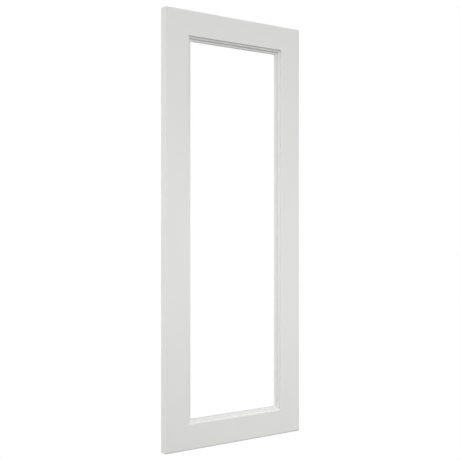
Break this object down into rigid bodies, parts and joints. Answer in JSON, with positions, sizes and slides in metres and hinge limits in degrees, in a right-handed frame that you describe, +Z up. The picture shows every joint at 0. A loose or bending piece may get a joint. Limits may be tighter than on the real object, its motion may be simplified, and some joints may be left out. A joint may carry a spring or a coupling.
{
  "type": "kitchen cabinet door",
  "caption": "Tall framed cabinet door in satin off-white with an open field, a moulded inner edge, a rear glass rebate and hinge cup drilling.",
  "frame": {"origin": "centre of the door's bounding box, in the middle of the open field", "axes": "+X along the width towards the stile without hinge drilling, +Y out of the back, +Z up the height; the face looks along -Y"},
  "size_m": [0.397, 0.022, 1.01],
  "materials": {
    "frame_paint": "satin off-white paint",
    "beech": "bare, fluted"
  },
  "bodies": {
    "root": {"left_stile": "frame_paint", "right_stile": "frame_paint", "top_rail": "frame_paint", "bottom_rail": "frame_paint", "dowel_top_left_outer": "beech", "dowel_top_left_inner": "beech", "dowel_bottom_left_outer": "beech", "dowel_bottom_left_inner": "beech", "dowel_top_right_outer": "beech", "dowel_top_right_inner": "beech", "dowel_bottom_right_outer": "beech", "dowel_bottom_right_inner": "beech"}
  },
  "joints": []
}
